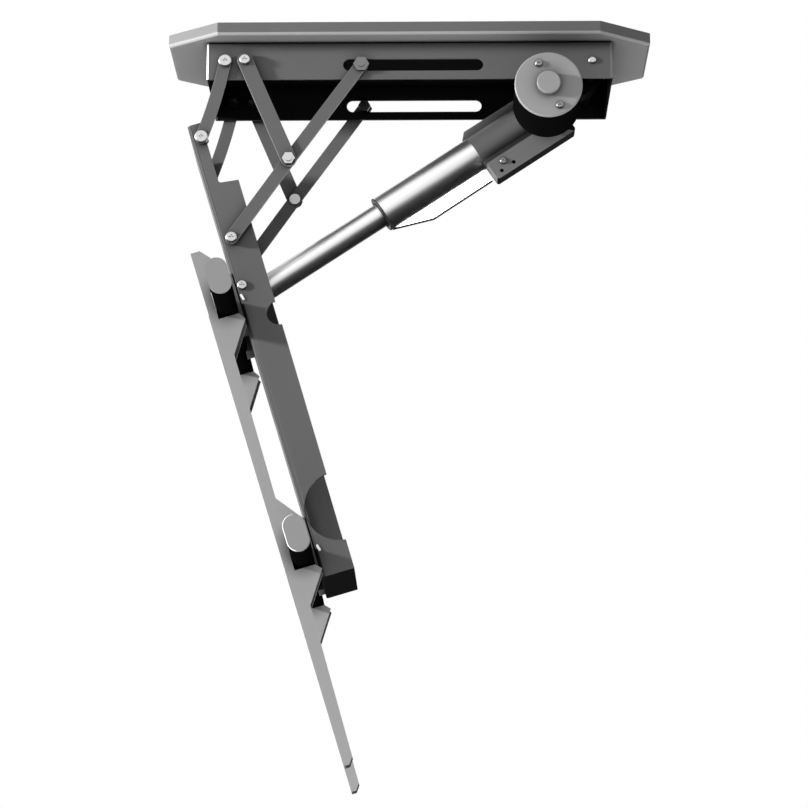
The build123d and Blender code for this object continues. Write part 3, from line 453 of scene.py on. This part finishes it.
def streaked_metal(name, colour, direction, rough, fineness, tone, relief):
    """metal with fine marks along one direction"""
    made, tree, shader = blank_material(name)
    streak = placed(tree, "drawn_streaks", Direction=direction, Scale=fineness).outputs["Value"]
    tinted(tree, shader, colour, *tone)
    tree.links.new(ranged(tree, streak, *rough), shader.inputs["Roughness"])
    bump(tree, shader, streak, *relief)
    shader.inputs["Metallic"].default_value = 1.0
    return made


def polished_material(name, colour, direction, rough=(0.32, 0.40)):
    """polished and chromed steel with faint lengthwise streaks"""
    return streaked_metal(name, colour, direction, rough, 700.0, (14.0, 0.04), (0.05, 0.00005))


def machined_material(name, colour, direction, rough=(0.26, 0.42)):
    """turned metal with fine tool marks"""
    return streaked_metal(name, colour, direction, rough, 1400.0, (30.0, 0.10), (0.10, 0.00006))


def grained_material(name, colour, rough, tone, grain, relief):
    """an even finish with a fine grain, and its shader"""
    made, tree, shader = blank_material(name)
    mask = tinted(tree, shader, colour, *tone)
    tree.links.new(ranged(tree, mask, *rough), shader.inputs["Roughness"])
    height = placed(tree, "coat_grain", Peel_Scale=grain[0], Grain_Scale=grain[1])
    bump(tree, shader, height.outputs["Height"], *relief)
    return made, shader


def plated_material(name, colour, rough=(0.24, 0.40)):
    """bright zinc plate with a slightly cloudy surface"""
    made, shader = grained_material(name, colour, rough, (60.0, 0.10), (900.0, 4200.0),
                                    (0.06, 0.00008))
    shader.inputs["Metallic"].default_value = 1.0
    return made


def moulded_material(name, colour, rough=(0.38, 0.52)):
    """moulded plastic with a fine spark texture"""
    return grained_material(name, colour, rough, (20.0, 0.06), (1500.0, 5200.0),
                            (0.12, 0.00008))[0]


def clear_material(name, colour):
    """clear plastic sheet with a faint ripple"""
    made, shader = grained_material(name, colour, (0.04, 0.10), (20.0, 0.02), (300.0, 1800.0),
                                    (0.05, 0.00005))
    shader.inputs["IOR"].default_value = 1.10
    shader.inputs["Transmission Weight"].default_value = 1.0
    return made


# Places in the frame, and finishes on the CAD nodes

def joint_named(name):
    """one of the frame's joints"""
    for joint in frame["joints"]:
        if joint["name"] == name:
            return joint
    raise RuntimeError("the frame has no joint " + name)


def direction_of(joint_name):
    """axis of one of the frame's joints"""
    return Vector(joint_named(joint_name)["axis"]).normalized()


def place_of(joint_name):
    """place of one of the frame's hinges, in metres"""
    return Vector(joint_named(joint_name)["pos_m"])


def box_of(name):
    """lowest and highest corner of a CAD node, in metres"""
    node = NODES[name]
    corners = [node.matrix_world @ Vector(corner) for corner in node.bound_box]
    low = Vector([min(corner[axis] for corner in corners) for axis in range(3)])
    high = Vector([max(corner[axis] for corner in corners) for axis in range(3)])
    return low, high


def finish_node(name, material, edge=0.0, segments=2):
    """a CAD node gets its material and, where it has sharp edges, a small rounding"""
    node = NODES[name]
    node.data.materials.clear()
    node.data.materials.append(material)
    if edge > 0.0:
        rounding = node.modifiers.new("edge_rounding", "BEVEL")
        rounding.width = edge
        rounding.segments = segments
        rounding.limit_method = "ANGLE"
        rounding.angle_limit = math.radians(40)
        rounding.harden_normals = True


def coat_faces(name, material, is_wanted):
    """the faces of a CAD node that a test picks out get one more material

    The test is given a face's place and normal, and the corners of the node's box.
    """
    node = NODES[name]
    node.data.materials.append(material)
    slot_index = len(node.data.materials) - 1
    turned = node.matrix_world.to_3x3()
    low, high = box_of(name)
    for face in node.data.polygons:
        place = node.matrix_world @ face.center
        normal = (turned @ face.normal).normalized()
        if is_wanted(place, normal, low, high):
            face.material_index = slot_index


def on_arm(point):
    """distance down the arm, and from the pivots' line toward the actuator"""
    away = point - place_of("arm_fold")
    return away.dot(ARM_DOWN), away.dot(ARM_FRONT)


# Tests that pick out faces

def in_channel(point, normal, low, high):
    """true on the inner faces of the ceiling channel"""
    return abs(point.x) < high.x - SKIN and abs(point.y) < high.y - SKIN and point.z < high.z - SKIN


def on_plate_bend(point, normal, low, high):
    """true on the rounded bend round the lower edge of the ceiling plate"""
    return -0.94 < normal.z < -0.25 and abs(point.y) > 0.5 * high.y


def under_plate(point, normal, low, high):
    """true on the flat underside of the ceiling plate"""
    return normal.z < -0.94 and point.z < low.z + SKIN


def on_channel_end(point, normal, low, high):
    """true on the bend at the channel's left end"""
    return point.x < low.x + LEFT_BEND and normal.x < -0.2 and abs(normal.y) > 0.2


def on_right_bend(point, normal, low, high):
    """true on the near bend at the channel's right end"""
    return point.x > high.x - END_WALL and normal.x > 0.2 and normal.y < -0.2


def on_end_edge(point, normal, low, high):
    """true on the cut lower edges of the channel's end walls"""
    return abs(point.x) > high.x - END_WALL and normal.z < -0.9 and point.z < high.z - SKIN


def on_arm_bend(point, normal, low, high):
    """true on the rounded corners between the arm's back and its walls"""
    return normal.dot(ARM_FRONT) < -0.2 and abs(normal.y) > 0.2


def on_arm_end(point, normal, low, high):
    """true on the faces at the arm's lower end"""
    return normal.dot(ARM_DOWN) > 0.9


def in_arm(point, normal, low, high):
    """true on the inner faces of the arm"""
    down, front = on_arm(point)
    return down < ARM_END - SKIN and front > ARM_BACK + SKIN and abs(point.y) < high.y - SKIN


def on_link_edge(point, normal, low, high):
    """true on the rounded right and lower edges of a link"""
    return 0.15 < abs(normal.y) < 0.97 and normal.x - 0.4 * normal.z > 0.2


def on_gearcase_back(point, normal, low, high):
    """true on the gearcase where it sits inside the channel, and under its foot"""
    away = point - place_of("actuator_swing")
    return away.dot(direction_of("rod_travel")) < GEARCASE_HIDDEN or normal.z < -0.8


def on_gearcase_ear(point, normal, low, high):
    """true on the gearcase's ear, behind its middle plane"""
    return point.y > EAR_PLANE and normal.y < -0.5


def on_cap_rim(point, normal, low, high):
    """true on the rounded left rim of a rail end cap"""
    return 0.1 < abs(normal.y) < 0.97 and normal.x < -0.1


def in_bracket(point, normal, low, high):
    """true between the two walls of a screen bracket"""
    middle = 0.5 * (low.y + high.y)
    return abs(point.y - middle) < 0.5 * (high.y - low.y) - BRACKET_SKIN


def faces_middle(point, normal, low, high):
    """true on the side of a piece that looks toward the middle of the mount"""
    return normal.y * point.y < 0.0 and abs(normal.y) > 0.9


# Small fittings

def object_from(name, shape):
    """an object made from a bmesh and put in the scene"""
    data = bpy.data.meshes.new(name)
    shape.to_mesh(data)
    shape.free()
    made = bpy.data.objects.new(name, data)
    bpy.context.scene.collection.objects.link(made)
    return made


def fitting(name, shape, material, body):
    """a finished piece from a bmesh, smooth where its faces meet gently"""
    made = object_from(name, shape)
    made.data.materials.append(material)
    for face in made.data.polygons:
        face.use_smooth = True
    made.data.set_sharp_from_angle(angle=math.radians(35))
    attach(made, body)


def arm_clips():
    """bright spring clips that show on the near wall of the arm beside each rail"""
    values = sizes()
    near_wall = box_of("main_arm")[0].y
    length_way = (ARM_DOWN + ARM_FRONT * CLIP_LEAN).normalized()
    width_way = length_way.cross(ACROSS)
    turned = Matrix((length_way, width_way, ACROSS)).transposed().to_4x4()
    scaled = Matrix.Diagonal((values.clip_length, values.clip_width, values.clip_height, 1.0))
    shape = bmesh.new()
    for down, front in CLIP_PLACES:
        centre = place_of("arm_fold") + ARM_DOWN * down + ARM_FRONT * front
        centre.y = near_wall
        bmesh.ops.create_cube(shape, size=1.0, matrix=Matrix.Translation(centre) @ turned @ scaled)
    bmesh.ops.bevel(shape, geom=shape.edges, offset=values.clip_round, segments=3, affect="EDGES")
    fitting("arm_clips", shape, plated_material("clip_zinc", colours().bright_clip), "main_arm")


def guard_trim():
    """black edging that is pushed on the lower edge of the clear plate"""
    guard = NODES["cable_guard"]
    forward = direction_of("rod_travel")
    upward = forward.cross(ACROSS)
    if upward.z < 0.0:
        upward = -upward
    places = [guard.matrix_world @ vertex.co for vertex in guard.data.vertices]
    near = min(place.y for place in places)
    far = max(place.y for place in places)
    top = max(place.dot(upward) for place in places)
    near_side = near + 0.1 * MM
    below_top = top - 0.5 * MM
    lower = {(round(place.dot(forward), 6), round(place.dot(upward), 6)) for place in places
             if place.y < near_side and place.dot(upward) < below_top}
    width = sizes().trim_width
    lip = sizes().trim_lip
    profile = ((near - lip, 0.0), (far + lip, 0.0), (far + lip, width), (near - lip, width))
    shape = bmesh.new()
    rings = []
    for along, height in sorted(lower):
        rings.append([shape.verts.new(forward * along + upward * (height + rise) + ACROSS * y)
                      for y, rise in profile])
    for first, second in zip(rings, rings[1:]):
        for k in range(4):
            shape.faces.new((first[k], first[(k + 1) % 4], second[(k + 1) % 4], second[k]))
    shape.faces.new(rings[0])
    shape.faces.new(rings[-1])
    bmesh.ops.recalc_face_normals(shape, faces=shape.faces)
    bmesh.ops.bevel(shape, geom=shape.edges, offset=sizes().trim_round, segments=2, affect="EDGES")
    fitting("guard_trim", shape, moulded_material("trim_rubber", colours().guard_edge), "actuator")


# Floor, background and lamps

def dark_card(reach, drop):
    """black cloth on the studio floor that only polished surfaces show"""
    card = plane_object("dark_card", reach, Vector((0.0, 2.0, -drop)))
    made, tree, shader = blank_material("black_cloth")
    weave = noise_node(tree, object_place(tree), 900.0, 2.0)
    shader.inputs["Base Color"].default_value = (0.004, 0.004, 0.004, 1.0)
    tree.links.new(ranged(tree, weave, 0.92, 1.0), shader.inputs["Roughness"])
    shader.inputs["Specular IOR Level"].default_value = 0.0
    card.data.materials.append(made)
    card.visible_camera = False
    card.visible_diffuse = False
    card.visible_shadow = False


def seen_directly(tree):
    """1 for rays from the camera and for what metal and glass show"""
    path = tree.nodes.new("ShaderNodeLightPath")
    either = value_node(tree, "MAXIMUM", path.outputs["Is Camera Ray"], path.outputs["Is Glossy Ray"])
    return value_node(tree, "MAXIMUM", either, path.outputs["Is Transmission Ray"])


def set_world(scene, level):
    """white where it is seen, and dimmer as light on the mount"""
    world = bpy.data.worlds.new("studio")
    scene.world = world
    world.use_nodes = True
    tree = world.node_tree
    back = tree.nodes["Background"]
    back.inputs["Color"].default_value = (1.0, 1.0, 1.0, 1.0)
    strength = ranged(tree, seen_directly(tree), level, 1.0)
    tree.links.new(strength, back.inputs["Strength"])


def plane_object(name, size, place):
    """a flat square that reaches size to each side of its place"""
    shape = bmesh.new()
    bmesh.ops.create_grid(shape, x_segments=1, y_segments=1, size=size)
    made = object_from(name, shape)
    made.location = place
    return made


def floor_material(colour):
    """pale matt floor"""
    made, tree, shader = blank_material("floor_pale")
    tinted(tree, shader, colour, 1.5, 0.02)
    shader.inputs["Roughness"].default_value = 0.8
    return made


def lamp(name, place, aim, size, power, mirrored=True):
    """a round lamp; one that isn't mirrored leaves no highlight"""
    data = bpy.data.lights.new(name, "AREA")
    data.shape = "DISK"
    data.size = size
    data.energy = power
    made = bpy.data.objects.new(name, data)
    made.location = place
    made.rotation_euler = (aim - place).to_track_quat("-Z", "Y").to_euler()
    made.visible_glossy = mirrored
    bpy.context.scene.collection.objects.link(made)


def photo_camera(scene):
    """the camera, placed as in the photograph"""
    data = bpy.data.cameras.new("photo_camera")
    data.lens = FOCAL_PIXELS * SENSOR_MM / PHOTO_PIXELS
    data.sensor_width = SENSOR_MM
    camera = bpy.data.objects.new("photo_camera", data)
    camera.location = CAMERA_PLACE
    camera.rotation_euler = (CAMERA_TILT, 0.0, CAMERA_TURN)
    scene.collection.objects.link(camera)
    scene.camera = camera


# The steps

class ScreenMountOperator:
    """what all the steps share"""
    bl_options = {"REGISTER", "UNDO"}


class MOUNT_OT_ceiling_frame(ScreenMountOperator, bpy.types.Operator):
    """Finish the ceiling plate, its spacers and the slotted channel"""
    bl_idname = "screen_mount.ceiling_frame"
    bl_label = "Ceiling Plate and Channel"

    def execute(self, context):
        paint = colours()
        edge = sizes().sheet_edge
        finish_node("ceiling_plate", coat_material("plate_coat", paint.plate_coat, corner=0.007), edge)
        finish_node("frame_channel", coat_material("channel_coat", paint.dark_coat), edge)
        # painted shade: the channel's inner faces are black where shadow falls
        coat_faces("frame_channel", painted_shade_black(), in_channel)
        # painted highlight on the bend at the channel's left end
        coat_faces("frame_channel", coat_material("channel_end_highlight", paint.channel_end_highlight, wear_and_highlight=0.0),
                   on_channel_end)
        # painted highlight on the near bend at the channel's right end
        coat_faces("frame_channel", coat_material("right_bend_highlight", paint.bracket_coat_and_bend_highlight, wear_and_highlight=0.0),
                   on_right_bend)
        # painted shade: the lower edges of the channel's end walls are black
        coat_faces("frame_channel", painted_shade_black(), on_end_edge)
        # painted light on the ceiling plate's flat underside
        coat_faces("ceiling_plate", coat_material("plate_underside_light", paint.plate_underside_light, corner=0.006),
                   under_plate)
        # painted highlight on the ceiling plate's lower bend
        coat_faces("ceiling_plate", coat_material("plate_and_link_edge_highlight", paint.plate_and_link_edge_highlight, wear_and_highlight=0.0),
                   on_plate_bend)
        finish_node("ceiling_spacers", plated_material("spacer_zinc", paint.zinc),
                    sizes().hardware_edge)
        return {"FINISHED"}


class MOUNT_OT_links(ScreenMountOperator, bpy.types.Operator):
    """Finish the side links"""
    bl_idname = "screen_mount.links"
    bl_label = "Side Links"

    def execute(self, context):
        coat = coat_material("link_coat", colours().dark_coat, wear_and_highlight=0.35)
        # painted highlight on the links' rounded right and lower edges
        edge_highlight = coat_material("link_edge_coat", colours().plate_and_link_edge_highlight, wear_and_highlight=0.0, corner=0.002)
        for letter in "abc":
            for side in ("near", "far"):
                name = "link_%s_%s" % (letter, side)
                finish_node(name, coat, sizes().sheet_edge)
                # painted shade on the link sides that face the middle
                coat_faces(name, middle_painted_shade(), faces_middle)
                coat_faces(name, edge_highlight, on_link_edge)
        return {"FINISHED"}


class MOUNT_OT_main_arm(ScreenMountOperator, bpy.types.Operator):
    """Finish the channel arm"""
    bl_idname = "screen_mount.main_arm"
    bl_label = "Main Arm"

    def execute(self, context):
        finish_node("main_arm", coat_material("arm_coat", colours().dark_coat), sizes().sheet_edge)
        # painted light and shade on the arm's inner faces
        coat_faces("main_arm", arm_inside_painted_shade(), in_arm)
        # painted shade: the faces at the arm's lower end are black
        coat_faces("main_arm", painted_shade_black(), on_arm_end)
        # painted shade on the arm's rounded back corners
        bend = coat_material("arm_bend_shade_coat", colours().arm_bend_shade, wear_and_highlight=0.0, shine=0.1)
        coat_faces("main_arm", bend, on_arm_bend)
        arm_clips()
        return {"FINISHED"}


class MOUNT_OT_rails(ScreenMountOperator, bpy.types.Operator):
    """Finish the flat-oval rails, their end caps and saddles"""
    bl_idname = "screen_mount.rails"
    bl_label = "Rails"

    def execute(self, context):
        paint = colours()
        rail = coat_material("rail_coat", paint.rail_coat, rough=(0.55, 0.70), wear_and_highlight=0.0, shine=0.0)
        for name in ("rail_upper", "rail_lower"):
            finish_node(name, rail)
        finish_node("rail_end_caps", moulded_material("cap_moulding", paint.cap_grey))
        # painted highlight on the rounded left rim of the end caps
        coat_faces("rail_end_caps", moulded_material("cap_rim_highlight", paint.cap_rim_highlight), on_cap_rim)
        finish_node("rail_saddles", coat_material("saddle_coat", paint.dark_coat), sizes().sheet_edge)
        return {"FINISHED"}


class MOUNT_OT_screen_brackets(ScreenMountOperator, bpy.types.Operator):
    """Finish the hook brackets that carry the screen"""
    bl_idname = "screen_mount.screen_brackets"
    bl_label = "Screen Brackets"

    def execute(self, context):
        coat = coat_material("bracket_coat", colours().bracket_coat_and_bend_highlight, wear_and_highlight=0.3)
        for name in ("tv_bracket_near", "tv_bracket_far"):
            finish_node(name, coat, sizes().sheet_edge)
            # painted shade on the faces between a bracket's two walls
            coat_faces(name, middle_painted_shade(), in_bracket)
        return {"FINISHED"}


class MOUNT_OT_actuator(ScreenMountOperator, bpy.types.Operator):
    """Finish the gearcase, tube, rod and the drive inside them"""
    bl_idname = "screen_mount.actuator"
    bl_label = "Linear Actuator"

    def execute(self, context):
        paint = colours()
        axis = direction_of("rod_travel")
        polished = polished_material("polished_steel", paint.polished, axis)
        bare = machined_material("bare_steel", paint.bare, axis)
        bronze = machined_material("machined_bronze", paint.bronze, axis)
        gearcase = coat_material("gearcase_coat", paint.casting, rough=(0.42, 0.58), tone=0.14,
                                 peel=520.0, shine=0.3)
        # painted light on the gearcase's ear
        ear = coat_material("ear_painted_light", paint.ear_painted_light, wear_and_highlight=0.1, shine=0.2)
        finish_node("gearbox_housing", gearcase, sizes().casting_edge, 3)
        coat_faces("gearbox_housing", ear, on_gearcase_ear)
        # painted shade: the gearcase inside the channel and under its foot is black
        coat_faces("gearbox_housing", painted_shade_black(), on_gearcase_back)
        for name in ("outer_tube", "push_rod"):
            finish_node(name, polished)
        finish_node("tube_gland", moulded_material("gland_nylon", paint.black_moulding))
        finish_node("rod_seal", moulded_material("seal_rubber", paint.black_moulding,
                                                 rough=(0.6, 0.75)))
        finish_node("cable_guard", clear_material("guard_sheet", paint.guard_white))
        guard_trim()
        for name in ("rod_end", "front_pivot_pin", "lead_screw", "screw_bearings"):
            finish_node(name, bare)
        for name in ("drive_nut", "worm_wheel"):
            finish_node(name, bronze)
        return {"FINISHED"}


class MOUNT_OT_motor(ScreenMountOperator, bpy.types.Operator):
    """Finish the motor can, its end cap and the rotor"""
    bl_idname = "screen_mount.motor"
    bl_label = "Motor"

    def execute(self, context):
        paint = colours()
        axis = direction_of("motor_spin")
        can = coat_material("motor_coat", paint.motor_black, rough=(0.24, 0.34), wear_and_highlight=0.0, shine=0.0)
        cap = coat_material("motor_cap_coat", paint.motor_grey, rough=(0.36, 0.48))
        finish_node("motor_can", can)
        finish_node("motor_end_cap", cap, sizes().hardware_edge)
        finish_node("motor_magnets", coat_material("magnet_ferrite", paint.black_moulding))
        bare = machined_material("rotor_steel", paint.bare, axis)
        for name in ("motor_rotor", "worm"):
            finish_node(name, bare)
        return {"FINISHED"}


class MOUNT_OT_fasteners(ScreenMountOperator, bpy.types.Operator):
    """Finish every bolt, nut, stud, pin and spacer"""
    bl_idname = "screen_mount.fasteners"
    bl_label = "Fasteners"

    def execute(self, context):
        zinc = plated_material("bright_zinc", colours().zinc)
        grey = plated_material("grey_zinc", colours().grey_zinc, rough=(0.30, 0.45))
        oxide = coat_material("black_oxide", colours().black_oxide, rough=(0.45, 0.60), wear_and_highlight=0.1)
        bright = ("channel_nuts", "link_a_bolts", "link_b_bolts", "link_spacers",
                  "rear_pivot_nut", "knee_bolts", "knee_nuts", "arm_link_bolts",
                  "arm_pivot_bolts", "arm_spacers", "arm_link_studs", "front_pivot_studs",
                  "rail_nuts", "lock_screws_near", "lock_screws_far", "rear_pivot_pin")
        small = ("gearbox_screws", "motor_screws")
        dull = ("slot_studs", "slot_nuts")
        black = ("frame_nuts", "channel_bolts", "rear_pivot_spacers", "arm_nuts", "rail_bolts")
        cloudy = plated_material("small_zinc", colours().small_zinc)
        for names, finish in ((bright, zinc), (small, cloudy), (dull, grey), (black, oxide)):
            for name in names:
                finish_node(name, finish, sizes().hardware_edge)
        return {"FINISHED"}


class MOUNT_OT_stage(ScreenMountOperator, bpy.types.Operator):
    """Set the floor, the white background, the lamps and the camera"""
    bl_idname = "screen_mount.stage"
    bl_label = "Stage"

    def execute(self, context):
        values = stage_values()
        scene = context.scene
        scene.view_settings.view_transform = "Standard"
        set_world(scene, values.fill_level)
        place = Vector((0.0, 0.0, -values.floor_drop))
        floor = plane_object("floor", values.floor_reach, place)
        floor.data.materials.append(floor_material(values.floor_grey))
        lamp("key_lamp", Vector((-3.2, -1.0, 0.3)), LAMP_AIM, 0.35, values.key_power)
        lamp("fill_lamp", Vector((-0.9, -3.2, 1.3)), LAMP_AIM, 1.8, values.fill_power)
        lamp("low_lamp", Vector((-0.3, -0.6, -1.7)), LAMP_AIM, 1.6, values.low_power,
             mirrored=False)
        lamp("floor_lamp", Vector((0.0, 0.0, -1.25)), Vector((0.0, 0.0, -9.0)), 20.0,
             values.floor_power, mirrored=False)
        lamp("back_lamp", Vector((0.4, 3.2, 0.7)), LAMP_AIM, 1.8, values.back_power,
             mirrored=False)
        dark_card(values.card_reach, values.card_drop)
        photo_camera(scene)
        return {"FINISHED"}


STEPS = (MOUNT_OT_ceiling_frame, MOUNT_OT_links, MOUNT_OT_main_arm, MOUNT_OT_rails,
         MOUNT_OT_screen_brackets, MOUNT_OT_actuator, MOUNT_OT_motor, MOUNT_OT_fasteners,
         MOUNT_OT_stage)


class MOUNT_PT_panel(bpy.types.Panel):
    """The steps and the values that they use"""
    bl_idname = "MOUNT_PT_panel"
    bl_label = "Screen Mount"
    bl_space_type = "VIEW_3D"
    bl_region_type = "UI"
    bl_category = "Screen Mount"

    def draw(self, context):
        column = self.layout.column()
        for step in STEPS:
            column.operator(step.bl_idname, text=step.bl_label)
        for values in (colours(), sizes(), stage_values()):
            box = self.layout.box()
            for name in values.bl_rna.properties.keys():
                if name not in ("rna_type", "name"):
                    box.prop(values, name)


VALUE_GROUPS = (MountColours, MountSizes, MountStage)


def register():
    for kind in VALUE_GROUPS + STEPS + (MOUNT_PT_panel,):
        bpy.utils.register_class(kind)
    bpy.types.Scene.mount_colours = PointerProperty(type=MountColours)
    bpy.types.Scene.mount_sizes = PointerProperty(type=MountSizes)
    bpy.types.Scene.mount_stage = PointerProperty(type=MountStage)


def unregister():
    del bpy.types.Scene.mount_stage
    del bpy.types.Scene.mount_sizes
    del bpy.types.Scene.mount_colours
    for kind in reversed(VALUE_GROUPS + STEPS + (MOUNT_PT_panel,)):
        bpy.utils.unregister_class(kind)


def main():
    register()
    for step in STEPS:
        category, action = step.bl_idname.split(".")
        outcome = getattr(getattr(bpy.ops, category), action)()
        if outcome != {"FINISHED"}:
            raise RuntimeError(step.bl_label + " did not finish")


if __name__ == "__main__":
    main()
